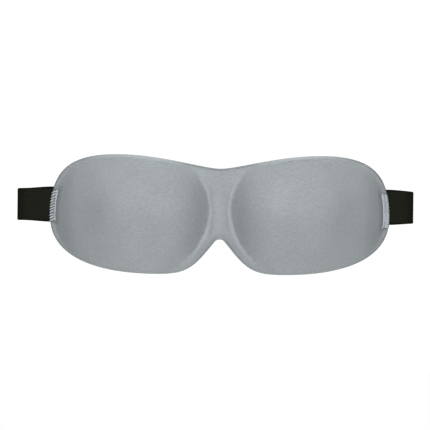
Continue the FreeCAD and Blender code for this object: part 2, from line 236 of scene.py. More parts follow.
def half_outline():
    """Right half of the outline, from the dip between the brows round to the notch's top."""
    lead = (FLANK[0] + FLANK_LEAD * math.cos(FLANK_LEAN),
            FLANK[1] - FLANK_LEAD * math.sin(FLANK_LEAN))
    touch = (NOTCH_ROUND * math.sin(FLANK_LEAN),
             FLANK[1] + (FLANK[0] - NOTCH_ROUND * math.sin(FLANK_LEAN)) * math.tan(FLANK_LEAN))
    parts = [
        cubic([(0, DIP_TOP), (DIP_REACH, DIP_TOP),
               (CROWN[0] - CROWN_INNER, CROWN[1]), CROWN], 300),
        cubic([CROWN, (CROWN[0] + CROWN_OUTER, CROWN[1]),
               (TEMPLE[0], TEMPLE[1] + TEMPLE_UPPER), TEMPLE], 300),
        cubic([TEMPLE, (TEMPLE[0], TEMPLE[1] - TEMPLE_LOWER),
               (CHEEK[0] + CHEEK_OUTER, CHEEK[1]), CHEEK], 300),
        cubic([CHEEK, (CHEEK[0] - CHEEK_INNER, CHEEK[1]), lead, FLANK], 200),
        np.linspace(FLANK, touch, 20, endpoint=False),
    ]
    turn = np.linspace(FLANK_LEAN, 0, 20)
    centre = touch[1] - NOTCH_ROUND * math.cos(FLANK_LEAN)
    parts.append(np.column_stack([NOTCH_ROUND * np.sin(turn),
                                  centre + NOTCH_ROUND * np.cos(turn)]))
    return np.vstack(parts)


def outline(pitch):
    """Closed outline at an even spacing, with the normals that point into the mask."""
    right = half_outline()
    left = right[::-1] * (-1, 1)
    loop = np.vstack([right, left[1:]])
    steps = np.r_[0, np.cumsum(np.hypot(*np.diff(loop, axis=0).T))]
    count = int(steps[-1] / pitch)
    at = np.linspace(0, steps[-1], count, endpoint=False)
    points = np.column_stack([np.interp(at, steps, loop[:, i]) for i in (0, 1)])
    along = np.roll(points, -1, axis=0) - np.roll(points, 1, axis=0)
    along /= np.hypot(*along.T)[:, None]
    return points, np.column_stack([along[:, 1], -along[:, 0]])


RIM, RIM_IN = outline(1.0)


def rim_side(z):
    """Sideways place of the rim near the temple at height z."""
    temple = RIM[RIM[:, 0] > CROWN[0]]
    order = np.argsort(temple[:, 1])
    return np.interp(z, temple[order, 1], temple[order, 0])


# ---------------------------------------------------------------- moulded surfaces
def wrap(x):
    """How far the shell curves back round the face at a distance from the middle."""
    return WRAP_RADIUS - np.sqrt(WRAP_RADIUS ** 2 - np.minimum(np.abs(x), 130) ** 2)


def cup_place(x, z, grow=0.0):
    """0 at the middle of an eye cup and 1 at its edge, and how far the point lies
    to the temple, the nose, the brow and the cheek: four shares that add up to 1."""
    side = np.abs(x) - CUP_SIDE
    across = np.where(side > 0, side / (CUP_OUTER + 1.5 * grow), side / (CUP_INNER + grow))
    rise = z + CUP_DROP
    height = np.where(rise > 0, CUP_UPPER, CUP_LOWER) + grow
    height = height - np.where(side < 0, CUP_PINCH * np.minimum(across ** 2, 1), 0)
    up = rise / height
    radius = np.hypot(across, up)
    sideways = (across / np.maximum(radius, 1e-6)) ** 2
    shares = (np.where(side > 0, sideways, 0), np.where(side > 0, 0, sideways),
              np.where(rise > 0, 1 - sideways, 0), np.where(rise > 0, 0, 1 - sideways))
    return radius, shares


def cup(x, z, grow, crease):
    """Height of the eye cup: a dome with its own slope on each side and a temple shoulder."""
    radius, shares = cup_place(x, z, grow)
    fullness = sum(share * value for share, value in zip(shares, FULLNESS))
    spread = sum(share * value for share, value in zip(shares, SPREAD))
    fall = 1 - radius ** fullness
    soft = (fall + np.sqrt(fall ** 2 + crease ** 2)) / 2
    inside = 1 / (1 + np.exp(np.clip((np.abs(x) - SHOULDER_SIDE) / SHOULDER_RUN, -30, 30)))
    nose = smooth(CUP_SIDE - CUP_INNER, CUP_SIDE - 8, np.abs(x))
    shoulder = SHOULDER_RISE * inside * nose * bump(z, -CUP_DROP, SHOULDER_SPAN)
    return CUP_HEIGHT * soft ** spread + shoulder


def beside_cup(x, z):
    """Distance outside the edge of the eye cup, and the share that lies on its nose side."""
    step = 0.05
    radius, shares = cup_place(x, z)
    dx = cup_place(x + step, z)[0] - radius
    dz = cup_place(x, z + step)[0] - radius
    outside = (radius - 1) * step / np.maximum(np.hypot(dx, dz), 1e-6)
    return outside, smooth(0.35, 0.7, shares[1])


def bead(x, z):
    """Raised bead along the nose side of each cup, and the fine folds of the bridge."""
    outside, nose_side = beside_cup(x, z)
    width = np.where(outside < BEAD_PLACE, BEAD_INNER, BEAD_OUTER)
    beads = BEAD_HEIGHT * bump(outside, BEAD_PLACE, width) * nose_side
    web = smooth(30, 12, z) * smooth(-26, -16, z)
    ridge = RIDGE_HEIGHT * bump(x, 0, RIDGE_WIDTH) * web
    folds = FOLD_DEPTH * bump(np.abs(x), FOLD_SIDE, FOLD_WIDTH) * web
    creases = bump(z, -20.9, 0.45) + 0.6 * bump(z, -19.3, 0.4)
    tuck = TUCK_DEPTH * creases * bump(x, TUCK_SIDE, TUCK_SPAN)
    return beads + ridge - folds - tuck


def fabric_painted_light(x, z):
    """Painted highlight on the bead, and painted shade in the tight corners, on the steep
    wall beside the nose, between the folds above the notch and round the stitches."""
    outside, nose_side = beside_cup(x, z)
    # painted highlight along the bead, painted shade at the foot of the cup wall and on the steep
    # wall beside the nose
    pale = 0.09 * bump(outside, 1.2, 0.8)
    crease = -0.05 * bump(outside, -0.6, 0.9) * smooth(26, 10, z)
    wall = -0.10 * np.exp(np.minimum(outside, 0) / 7.5) * (outside < 0) * smooth(24, 6, z)
    # painted shade round the stitches and between the folds above the notch
    sewn = 0.10 * beside_tack(x, z, 0.6) + 0.17 * beside_tack(x, z, 2.8)
    folds = 0.07 * bump(np.abs(x + 0.6), 4.6, 2.6) * smooth(14, 2, z) * smooth(-26, -20, z)
    return (1 + nose_side * (pale + crease + wall)) * (1 - sewn) * (1 - folds)


def beside_tack(x, z, beyond):
    """1 inside a row of stitches, falling to 0 some way beyond its ends and its inner side."""
    span = np.where(x < 0, TACK_SPAN["left"], TACK_SPAN["right"]) / 2
    middle = np.where(x < 0, TACK_MIDDLE["left"], TACK_MIDDLE["right"])
    inner = np.where(x < 0, TACK_INNER["left"], TACK_INNER["right"])
    row = smooth(beyond, -0.3, np.abs(z - middle) - span)
    near = smooth(beyond, 0.0, rim_side(z) - np.abs(x) - inner)
    return row * near * (np.abs(x) > 90)


def tack_dent(x, z):
    """The foam is pulled in under the row of stitches at each temple."""
    return DENT_DEPTH * beside_tack(x, z, DENT_REACH)


def front(x, z):
    """Outer face of the fabric."""
    pressed = smooth(PRESS_START, PRESS_START + PRESS_RUN, np.abs(x))
    thick = SHELL_THICK - (SHELL_THICK - SEAM_THICK) * pressed
    return wrap(x) - thick - cup(x, z, 0.0, FRONT_CREASE) - bead(x, z) + tack_dent(x, z)


def back(x, z):
    """Face side of the lining."""
    return wrap(x) - cup(x, z, -HOLLOW_MARGIN, BACK_CREASE)


# ---------------------------------------------------------------- shell meshes
RIM_ROUND, SEAM_ROUND, NOTCH_ROLL = 2.8, 1.8, 2.2
BACK_ROUND = 1.1
# strength of the painted shade on the roll of the rim
RIM_PAINTED_SHADE = 0.3
ROLL_STEPS = 10
SKIN_SHARE = 0.9      # built thickness of each fabric, which leaves a hair's gap to the foam
RIM_BACK = wrap(RIM[:, 0]) - BACK_ROUND
# 1 along the two legs of the nose notch, 0 on the rest of the outline
NEAR_NOTCH = smooth(46, 30, np.abs(RIM[:, 0])) * smooth(0, -14, RIM[:, 1])
# the roll beside the notch is flattened towards a slope
NOTCH_BEVEL = 1 + 0.25 * NEAR_NOTCH


def rim_painted_shade():
    """How much painted shade darkens the fabric on the roll of the rim, and how far up the roll.
    """
    upper = smooth(0, 15, RIM[:, 1])
    lower = smooth(0, -20, RIM[:, 1])
    strength = RIM_PAINTED_SHADE * (1 - 0.85 * NEAR_NOTCH) * (1 - 0.5 * lower)
    return strength, 0.62 + 0.25 * upper


def rim_rounding():
    """Rounding of the rim: wide along the nose notch, tight at the pressed seam."""
    pressed = smooth(92, 112, np.abs(RIM[:, 0]))
    return RIM_ROUND - (RIM_ROUND - SEAM_ROUND) * pressed + NOTCH_ROLL * NEAR_NOTCH


def fill_inside(ring, pitch):
    """Even field of points inside a closed ring, triangulated together with it."""
    low, high = ring.min(axis=0), ring.max(axis=0)
    field = []
    row_pitch = pitch * 0.866
    for r in range(int((high[1] - low[1]) / row_pitch)):
        z = low[1] + (r + 0.5) * row_pitch
        x = np.arange(low[0] + (r % 2) * pitch / 2, high[0], pitch)
        field.append(np.column_stack([x, np.full(len(x), z)]))
    field = np.vstack(field)
    inside = np.zeros(len(field), bool)
    for a, b in zip(ring, np.roll(ring, -1, axis=0)):
        crosses = (a[1] > field[:, 1]) != (b[1] > field[:, 1])
        height = b[1] - a[1] if abs(b[1] - a[1]) > 1e-12 else 1e-12
        inside ^= crosses & (field[:, 0] < a[0] + (b[0] - a[0]) * (field[:, 1] - a[1]) / height)
    field = field[inside]
    tree = KDTree(len(ring))
    for i, (x, z) in enumerate(ring):
        tree.insert((x, z, 0), i)
    tree.balance()
    clear = [tree.find((x, z, 0))[2] > 0.7 * pitch for x, z in field]
    points = np.vstack([ring, field[np.array(clear)]])
    count = len(ring)
    edges = [(i, (i + 1) % count) for i in range(count)]
    made = delaunay_2d_cdt([Vector(p) for p in points], edges, [], 1, 1e-6)
    if len(made[0]) != len(points):
        raise RuntimeError("the triangulation changed the points")
    where = [origin[0] for origin in made[3]]
    faces = [[where[i] for i in face] for face in made[2]]
    return points, faces


def turned(points, faces, facing):
    """Faces turned to look along Y (facing 1) or against it (facing -1)."""
    result = []
    for face in faces:
        a, b, c = (points[i] for i in face[:3])
        slope = np.cross(b - a, c - a)[1] * facing
        result.append(face[::-1] if slope <= -1e-9 else face)
    return result


def moulded_sheet(name, rim, depth, rounding, facing, material, bevel=1.0):
    """Sheet over the whole outline: a rounded rim that starts at its side, then the moulded face.

    A bevel above 1 flattens the rounding towards a slope."""
    rows = []
    for k in range(ROLL_STEPS + 1):
        turn = math.pi / 2 * k / ROLL_STEPS
        x, z = (rim + RIM_IN * (rounding * (1 - math.cos(turn) ** bevel))[:, None]).T
        y = RIM_BACK + (depth(x, z) - RIM_BACK) * math.sin(turn) ** bevel
        rows.append(np.column_stack([x, y, z]))
    count = len(rim)
    field, inner = fill_inside(rows[-1][:, [0, 2]], 1.0)
    x, z = field[count:].T
    rows.append(np.column_stack([x, depth(x, z), z]))
    points = np.vstack(rows)
    faces = tube_faces(ROLL_STEPS + 1, count)
    faces += [[ROLL_STEPS * count + i for i in face] for face in inner]
    sheet = make_object(name, points, turned(points, faces, facing), material)
    # the tone carries painted highlight and painted shade on the fabric
    tone = fabric_painted_light(points[:, 0], points[:, 2])
    # painted shade on the roll of the rim
    strength, reach = rim_painted_shade()
    for k in range(ROLL_STEPS + 1):
        shade = strength * smooth(reach, reach / 2, k / ROLL_STEPS)
        tone[k * count:(k + 1) * count] *= 1 - shade
    mark_points(sheet, "tone", tone)
    return sheet


# ---------------------------------------------------------------- materials
def new_material(name):
    """Empty material and its node tree."""
    material = bpy.data.materials.new(name)
    material.use_nodes = True
    tree = material.node_tree
    tree.nodes.clear()
    return material, tree


def add(tree, kind, inputs=None, **settings):
    """New shader node; inputs gives values to its sockets, settings to its own options."""
    node = tree.nodes.new(kind)
    for key, value in settings.items():
        setattr(node, key, value)
    for socket, value in (inputs or {}).items():
        node.inputs[socket].default_value = value
    return node


def link(tree, source, target):
    """Joins an output socket to an input socket."""
    tree.links.new(source, target)


def matt_shader(name, inputs):
    """Material with one principled shader; gives back the material, its tree and the shader."""
    material, tree = new_material(name)
    out = add(tree, "ShaderNodeOutputMaterial")
    shader = add(tree, "ShaderNodeBsdfPrincipled", inputs)
    link(tree, shader.outputs[0], out.inputs[0])
    return material, tree, shader


def relief(tree, shader, height, strength, depth):
    """Fine relief in the shading; depth in millimetres."""
    lift = add(tree, "ShaderNodeBump", {"Strength": strength, "Distance": depth * MM})
    link(tree, height, lift.inputs["Height"])
    link(tree, lift.outputs[0], shader.inputs["Normal"])


def shades(tree, source, colour, darkest, palest, top=0.7):
    """Colour that runs from a darker to a paler shade as the source rises from 0.3 to top."""
    ramp = add(tree, "ShaderNodeValToRGB")
    ends = ramp.color_ramp.elements
    ends[0].position = 0.3
    ends[1].position = top
    for end, factor in zip(ends, (darkest, palest)):
        end.color = (*[min(c * factor, 1) for c in colour], 1)
    link(tree, source, ramp.inputs[0])
    return ramp.outputs[0]


def multiply_add(tree, source, share, base):
    """source * share + base, where the base is a number or another node's output."""
    step = add(tree, "ShaderNodeMath", {1: share}, operation="MULTIPLY_ADD")
    link(tree, source, step.inputs[0])
    if isinstance(base, float):
        step.inputs[2].default_value = base
    else:
        link(tree, base, step.inputs[2])
    return step.outputs[0]


def scaled(tree, colour, factor, shader):
    """The shader's base colour is the colour times the factor."""
    final = add(tree, "ShaderNodeVectorMath", operation="SCALE")
    link(tree, colour, final.inputs[0])
    link(tree, factor, final.inputs["Scale"])
    link(tree, final.outputs[0], shader.inputs["Base Color"])


def knit_material(name, colour, pitch, depth, grain):
    """Fine jersey knit: small loops broken up by fuzz, and slow changes of tone."""
    material, tree, shader = matt_shader(name, {"Roughness": 0.95, "Specular IOR Level": 0.05})
    place = add(tree, "ShaderNodeTexCoord").outputs["Object"]
    total = -0.09
    # columns of loops up the mask, courses across it drawn out into short streaks, and fuzz
    for squash, size, detail, share in (((1.0, 1.0, 0.35), 1.1, 2.0, 0.26),
                                        ((0.2, 1.0, 1.0), 1.2, 2.0, 0.58),
                                        ((1.0, 1.0, 1.0), 0.8, 4.0, 0.34)):
        stretch = add(tree, "ShaderNodeMapping", {"Scale": squash})
        noise = add(tree, "ShaderNodeTexNoise", {"Scale": size / (pitch * MM), "Detail": detail})
        link(tree, place, stretch.inputs[0])
        link(tree, stretch.outputs[0], noise.inputs["Vector"])
        total = multiply_add(tree, noise.outputs["Fac"], share, total)
    relief(tree, shader, total, 0.6, depth)
    slow = add(tree, "ShaderNodeTexNoise", {"Scale": 1 / (28 * MM), "Detail": 3.0})
    link(tree, place, slow.inputs["Vector"])
    patch = add(tree, "ShaderNodeMapRange", {"From Min": 0.3, "From Max": 0.7,
                                             "To Min": 0.97, "To Max": 1.03})
    link(tree, slow.outputs["Fac"], patch.inputs["Value"])
    # the tone attribute is painted light: painted highlight and painted shade on the shell's
    # fabric
    tone = add(tree, "ShaderNodeAttribute", attribute_name="tone")
    both = add(tree, "ShaderNodeMath", operation="MULTIPLY")
    link(tree, patch.outputs[0], both.inputs[0])
    link(tree, tone.outputs["Fac"], both.inputs[1])
    scaled(tree, shades(tree, total, colour, 1 - grain, 1 + grain), both.outputs[0], shader)
    return material


def bands(tree, place, direction, pitch, distortion):
    """Even bands across a direction, about one for each pitch in millimetres."""
    wave = add(tree, "ShaderNodeTexWave",
               {"Scale": 1 / (math.pi * pitch), "Distortion": distortion},
               wave_type="BANDS", bands_direction=direction)
    link(tree, place, wave.inputs["Vector"])
    return wave.outputs["Fac"]


def elastic_material(name, colour):
    """Black braided elastic: lengthwise ribs with a fine cross weave."""
    material, tree, shader = matt_shader(name, {"Roughness": 0.8, "Specular IOR Level": 0.1})
    grid = add(tree, "ShaderNodeCombineXYZ")
    for axis, label in enumerate(("along", "across")):
        distance = add(tree, "ShaderNodeAttribute", attribute_name=label)
        link(tree, distance.outputs["Fac"], grid.inputs[axis])
    weave = bands(tree, grid.outputs[0], "X", WEAVE_PITCH, 0.8)
    ribs = bands(tree, grid.outputs[0], "Y", RIB_PITCH, 0.3)
    fuzz = add(tree, "ShaderNodeTexNoise", {"Scale": 2.2, "Detail": 5.0})
    link(tree, grid.outputs[0], fuzz.inputs["Vector"])
    cloth = multiply_add(tree, weave, 0.55, ribs)
    total = multiply_add(tree, fuzz.outputs["Fac"], 0.6, cloth)
    relief(tree, shader, total, 0.6, 0.12)
    # the tone attribute is painted shade along the strap's edges
    tone = add(tree, "ShaderNodeAttribute", attribute_name="tone")
    scaled(tree, shades(tree, total, colour, 0.6, 1.5, 1.0), tone.outputs["Fac"], shader)
    return material


def thread_material(name, colour, roughness=0.55, sheen=0.2):
    """Twisted thread or nylon, mottled, with a slight gloss."""
    material, tree, shader = matt_shader(name, {"Roughness": roughness, "Sheen Weight": sheen})
    place = add(tree, "ShaderNodeTexCoord")
    noise = add(tree, "ShaderNodeTexNoise", {"Scale": 1 / (0.35 * MM), "Detail": 3.0})
    link(tree, place.outputs["Object"], noise.inputs["Vector"])
    mottle = shades(tree, noise.outputs["Fac"], colour, 0.72, 1.15)
    link(tree, mottle, shader.inputs["Base Color"])
    relief(tree, shader, noise.outputs["Fac"], 0.5, 0.08)
    return material


GREY = (0.368, 0.389, 0.400)
face_knit = knit_material("grey_jersey", GREY, pitch=0.9, depth=0.34, grain=0.10)
lining_knit = knit_material("grey_lining", [c * 0.8 for c in GREY], pitch=0.9, depth=0.34,
                            grain=0.10)
foam_look = knit_material("grey_foam", [c * 0.7 for c in GREY], pitch=1.2, depth=0.3,
                          grain=0.12)
black_elastic = elastic_material("black_elastic", (0.0190, 0.0194, 0.0138))
grey_thread = thread_material("light_grey_thread", (0.60, 0.635, 0.66))
black_thread = thread_material("black_thread", (0.018, 0.018, 0.017))
hook_nylon = thread_material("hook_nylon", (0.018, 0.018, 0.019), roughness=0.6, sheen=0.0)
loop_nylon = thread_material("loop_nylon", (0.020, 0.020, 0.019), roughness=0.95, sheen=0.25)


# ---------------------------------------------------------------- the shell
def outer_fabric():
    """Knit over the front and the rim."""
    shell = moulded_sheet("outer_fabric_shell", RIM, front, rim_rounding(), -1, face_knit,
                          NOTCH_BEVEL)
    thicken(shell, FABRIC * SKIN_SHARE)
    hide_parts("outer_fabric")
    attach(shell, "mask")


def inner_lining():
    """Knit over the face side, with the two hollows for the eyes."""
    sheet = moulded_sheet("inner_lining_sheet", RIM + RIM_IN * 0.05, back,
                          np.full(len(RIM), BACK_ROUND), 1, lining_knit)
    thicken(sheet, LINING * SKIN_SHARE)
    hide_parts("inner_lining")
    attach(sheet, "mask")


def foam_core():
    """Closed foam body between the two fabrics."""
    edge = RIM + RIM_IN * (FABRIC + 0.1)
    halves = [
        moulded_sheet("foam_front", edge, lambda x, z: front(x, z) + 1.2 * FABRIC,
                      rim_rounding(), -1, foam_look, NOTCH_BEVEL),
        moulded_sheet("foam_back", edge, lambda x, z: back(x, z) - LINING,
                      np.full(len(RIM), BACK_ROUND * 0.8), 1, foam_look)]
    body = joined("foam_core_body", halves, foam_look)
    weld = body.modifiers.new("weld", "WELD")
    weld.merge_threshold = 0.002 * MM
    apply_modifiers(body)
    mark_points(body, "tone", np.ones(len(body.data.vertices)))
    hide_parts("foam_core")
    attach(body, "mask")


# ---------------------------------------------------------------- strap routes
def on_arc(centre, radius, heading):
    """Point of a circle in plan where the route along it has the given heading."""
    return (centre[0] + radius * np.sin(heading), centre[1] - radius * np.cos(heading))


def strap_route(side):
    """Middle line of one strap in plan from its sewn end to its tip, with its headings.

    Worked out from the joints: the seam, the fold behind the side bend, and the back."""
    radius = WRAP_RADIUS - STRAP_THICK / 2
    fold = joint_spot(side + "_strap_swing")
    seam_turn = math.asin((SEWN_END + 0.15) / radius)
    start = (SEWN_END + 0.15, WRAP_RADIUS - radius * math.cos(seam_turn))
    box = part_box(side + "_strap_front")
    reach = max(abs(box[0].x), abs(box[1].x)) / MM - STRAP_THICK / 2
    bend_start = (start[0] + STRAP_LEAD[side] * math.cos(seam_turn),
                  start[1] + STRAP_LEAD[side] * math.sin(seam_turn))
    bend = (reach - bend_start[0]) / (1 - math.sin(seam_turn))
    centre = (bend_start[0] - bend * math.sin(seam_turn),
              bend_start[1] + bend * math.cos(seam_turn))
    turn = math.atan2(abs(fold[0]) - centre[0], centre[1] - fold[1])
    back_bend = (centre[0] - STRAP_FLAT[side]) / math.sin(turn) + bend
    back_centre = (STRAP_FLAT[side], fold[1] + back_bend * math.cos(turn))
    parts = []

    def arc(middle, size, first, last):
        """Adds an arc between two headings."""
        count = max(2, int(abs(last - first) * size / ROUTE_STEP))
        headings = np.linspace(first, last, count, endpoint=False)
        xs, ys = on_arc(middle, size, headings)
        parts.append(np.column_stack([xs, ys, headings]))

    def straight(a, b, heading):
        """Adds a straight run."""
        count = max(2, int(math.dist(a, b) / ROUTE_STEP))
        line = np.linspace(a, b, count, endpoint=False)
        parts.append(np.column_stack([line, np.full(count, heading)]))

    arc((0, WRAP_RADIUS), radius, math.asin(SEWN_START / radius), seam_turn)
    straight(start, bend_start, seam_turn)
    arc(centre, bend, seam_turn, turn)
    arc(back_centre, back_bend, turn, math.pi)
    flat_start = on_arc(back_centre, back_bend, math.pi)
    tip = (STRAP_TIP[side], flat_start[1])
    straight(flat_start, tip, math.pi)
    parts.append(np.array([[*tip, math.pi]]))
    route = np.vstack(parts)
    length = np.r_[0, np.cumsum(np.hypot(*np.diff(route[:, :2], axis=0).T))]
    seam_end, bend_begin, fold_place = np.cumsum([len(part) for part in parts[:3]])
    marks = {"seam": length[seam_end], "bend": length[bend_begin], "fold": length[fold_place],
             "tip": length[-1]}
    return route, length, marks


def strap_width(length, marks):
    """Full width in the seam, slightly necked where the elastic is free."""
    free = smooth(marks["seam"] - 1, marks["seam"] + 22, length)
    return STRAP_WIDTH + (STRAP_NECK - STRAP_WIDTH) * free


def strap_edge_painted_shade(share, distance, width, marks):
    """Painted shade along the strap's two edges, over a wider border beside the seam."""
    border = 0.9 + 1.1 * smooth(marks["bend"], marks["seam"], distance)
    edge = (1 - abs(share)) * width / 2
    return 1 - 0.7 * smooth(border, 0.4 * border, edge)


def strap_section():
    """Points round the strap's cross-section: share of the width, and share of the thickness."""
    around = []
    for face in (1, -1):
        for share in np.linspace(-face, face, SECTION_COLUMNS):
            edge = 1 - smooth(0.93, 1.0, abs(share)) * EDGE_THINNING
            rib = RIB_HEIGHT * math.cos(share * math.pi * 2 * SECTION_RIBS)
            selvedge = SELVEDGE_HEIGHT * bump(abs(share), 0.90, 0.05)
            around.append((share, face * (0.5 * edge + (rib + selvedge) * edge * 0.8 - 0.06)))
    return around


def strap_piece(name, side, first, last, round_tip=0.0):
    """Stretch of a strap between two distances along its route, as one closed ribbon."""
    route, length, marks = strap_route(side)
    between = (length > first + 0.01) & (length < last - 0.01)
    along = np.r_[first, length[between], last]
    section = strap_section()
    points = []
    coords = []
    for distance in along:
        x, y, heading = (np.interp(distance, length, column) for column in route.T)
        width = strap_width(distance, marks)
        if round_tip and last - distance < round_tip:
            past = round_tip - (last - distance)
            width -= 2 * (round_tip - math.sqrt(max(round_tip ** 2 - past ** 2, 0)))
        for share, depth in section:
            thick = STRAP_THICK * depth
            points.append((MIRROR[side] * (x + math.sin(heading) * thick),
                           y - math.cos(heading) * thick,
                           STRAP_MIDDLE + share * width / 2))
            coords.append((distance, share * width / 2,
                           strap_edge_painted_shade(share, distance, width, marks)))
    faces = capped_tube(len(along), len(section), side == "right")
    obj = make_object(name, points, faces, black_elastic)
    for label, values in zip(("along", "across", "tone"), zip(*coords)):
        mark_points(obj, label, values)
    return obj


def plan_point(side, distance):
    """Point of a strap's middle line, in metres."""
    route, length, _ = strap_route(side)
    x, y = (np.interp(distance, length, route[:, i]) for i in (0, 1))
    return Vector((MIRROR[side] * x * MM, y * MM, STRAP_MIDDLE * MM))


def straps():
    """Each strap is one ribbon, split where it rides wholly on one body."""
    for side in MIRROR:
        _, _, marks = strap_route(side)
        front_split = marks["bend"] + 6
        back_split = marks["tip"]
        if side == "left":
            peel = marks["tip"] - (PEEL_LINE - STRAP_TIP["left"])
            back_split = peel - TAB_LEAD
        front_piece = strap_piece(side + "_strap_front_ribbon", side, 0, front_split)
        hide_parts(side + "_strap_sewn_end")
        plan_point(side, marks["seam"] - 0.5)
        plan_point(side, marks["seam"] + 7)
        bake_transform(front_piece)
        back_piece = strap_piece(side + "_strap_back_ribbon", side, front_split, back_split)
        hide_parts(side + "_strap_front", side + "_strap_band")
        plan_point(side, marks["fold"] - 9)
        plan_point(side, marks["fold"] + 9)
        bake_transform(back_piece)
        if side == "left":
            tab_piece = strap_piece("strap_tab_ribbon", side, back_split, marks["tip"], TAB_ROUND)
            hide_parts("strap_tab")
            plan_point(side, peel - 6)
            plan_point(side, peel + 4)
            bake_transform(tab_piece)


# ---------------------------------------------------------------- threads
def thread_mesh(name, paths, radius, material, roundness=2, steps=3):
    """Several thread paths as round tubes in one mesh."""
    curve = bpy.data.curves.new(name, "CURVE")
    curve.dimensions = "3D"
    curve.bevel_depth = radius * MM
    curve.bevel_resolution = roundness
    curve.use_fill_caps = True
    for path in paths:
        spline = curve.splines.new("NURBS")
        spline.points.add(len(path) - 1)
        for point, place in zip(spline.points, path):
            point.co = (*[c * MM for c in place], 1)
        spline.order_u = 3
        spline.use_endpoint_u = True
        spline.resolution_u = steps
    holder = bpy.data.objects.new(name + "_curve", curve)
    bpy.context.collection.objects.link(holder)
    graph = bpy.context.evaluated_depsgraph_get()
    mesh = bpy.data.meshes.new_from_object(holder.evaluated_get(graph))
    bpy.data.objects.remove(holder)
    mesh.name = name
    return linked(name, mesh, material)


def fabric_height(x, z):
    """The fabric's outer face near the temple, with the rounded rim."""
    rim = rim_side(z)
    face = float(front(np.array([x]), np.array([z]))[0])
    inside = max(rim - abs(x), 0)
    if inside >= SEAM_ROUND:
        return face
    side = float(wrap(rim)) - BACK_ROUND
    return side + (face - side) * math.sin(math.acos(1 - inside / SEAM_ROUND))


def tack_zigzag(side, offset, reach, rng):
    """One strand of the zigzag: over the rim, round it and back through the foam."""
    path = []

    def over(x, z, lift):
        """Adds a point at a height above the fabric."""
        path.append((MIRROR[side] * x, fabric_height(x, z) - lift, z))

    for i in range(TACK_TEETH[side]):
        z = TACK_LOW[side] + (i + 0.5) * TACK_PITCH + offset
        rim = float(rim_side(z))
        inner = rim - TACK_INNER[side] + rng.uniform(-TACK_JITTER, TACK_JITTER)
        outer = rim + reach + rng.uniform(-TACK_JITTER, TACK_JITTER)
        over(inner, z + TACK_SLOPE, -TACK_SINK)
        for share in (0.8, 0.5, 0.15):
            over(outer + (inner - outer) * share, z + TACK_SLOPE * share, THREAD * 0.9)
        for step_in, step_out, drop in ((0.0, 0.9, 0.05), (0.3, 0.1, 0.1)):
            path.append((MIRROR[side] * (outer - step_in), float(wrap(rim)) - step_out, z - drop))
        over(rim - 1.0, z - 0.4, -TACK_DEEP)
        over(inner + 0.4, z - 0.7, -TACK_DEEP)
    return path


def tack_column(side):
    """Dense upright column at the inner ends of the teeth."""
    path = []
    for i in range(4 * TACK_TEETH[side]):
        z = TACK_LOW[side] + (i + 0.5) * TACK_PITCH / 4
        shift, lift = (0.35, 1.5) if i % 2 else (-0.25, 0.9)
        x = float(rim_side(z)) - TACK_INNER[side] + shift
        path.append((MIRROR[side] * x, fabric_height(x, z) - THREAD * lift, z))
    return path


def tack_behind(side, rng):
    """The same row seen from the face side, on the strap's sewn end."""
    path = []
    for i in range(2 * TACK_TEETH[side] + 1):
        z = TACK_LOW[side] + i * TACK_PITCH / 2
        x = float(rim_side(z)) - (TACK_INNER[side] if i % 2 else 0.6) + rng.uniform(-0.15, 0.15)
        path.append((MIRROR[side] * x, float(wrap(x)) + STRAP_THICK + THREAD * 0.4, z))
    return path


def bartack(side):
    """Zigzag of thick thread over the rim with a bright inner column, and the row behind."""
    rng = np.random.default_rng(11 if side == "left" else 12)
    paths = [tack_zigzag(side, offset, reach, rng) for offset, reach in TACK_STRANDS[side]]
    paths += [tack_column(side), tack_behind(side, rng)]
    obj = thread_mesh(side + "_bartack_thread", paths, THREAD, grey_thread)
    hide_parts(side + "_bartack")
    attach(obj, "mask")


def node_edges(node, margin):
    """Left, right, lower and upper edge of a node in millimetres, each moved inwards."""
    low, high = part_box(node)
    return (low.x / MM + margin, high.x / MM - margin, low.z / MM + margin, high.z / MM - margin)


def running_seam(name, node, body, outward):
    """Running stitches round a tape, one short bowed thread for each stitch."""
    low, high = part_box(node)
    face = (low.y if outward < 0 else high.y) / MM
    top, deep = face - outward * 0.12, face - outward * 0.75
    x0, x1, z0, z1 = node_edges(node, SEAM_THREAD / 2)
    columns = int((x1 - x0) / STITCH_PITCH)
    rows = int((z1 - z0) / STITCH_PITCH)
    places = []
    for z in (z0, z1):
        for i in range(columns):
            places.append(((x0 + x1) / 2 + (i + 0.5 - columns / 2) * STITCH_PITCH, z, 1, 0))
    for x in (x0, x1):
        for i in range(1, rows):
            places.append((x, (z0 + z1) / 2 + (i - rows / 2) * STITCH_PITCH, 0, 1))
    # a stitch comes up near one end, lies flat and goes down near the other
    bow = ((-0.5, deep), (-0.35, top), (0.0, top), (0.35, top), (0.5, deep))
    paths = [[(x + right * share * STITCH_LONG, y, z + up * share * STITCH_LONG)
              for share, y in bow] for x, z, right, up in places]
    obj = thread_mesh(name, paths, 0.2, black_thread)
    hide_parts(node)
    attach(obj, body)


# ---------------------------------------------------------------- hook and loop tapes
def rounded_rectangle(low, high, shrink, corner):
    """Closed ring in the front plane, with round corners, inside a box made smaller all round."""
    ring = []
    for quarter, (x, z) in enumerate(((high.x, high.z), (low.x, high.z), (low.x, low.z),
                                      (high.x, low.z))):
        side = 1 if quarter in (0, 3) else -1
        rise = 1 if quarter in (0, 1) else -1
        centre = (x / MM - side * (shrink + corner), z / MM - rise * (shrink + corner))
        for turn in np.linspace(quarter, quarter + 1, 6) * math.pi / 2:
            ring.append((centre[0] + corner * math.cos(turn), centre[1] + corner * math.sin(turn)))
    return np.array(ring)


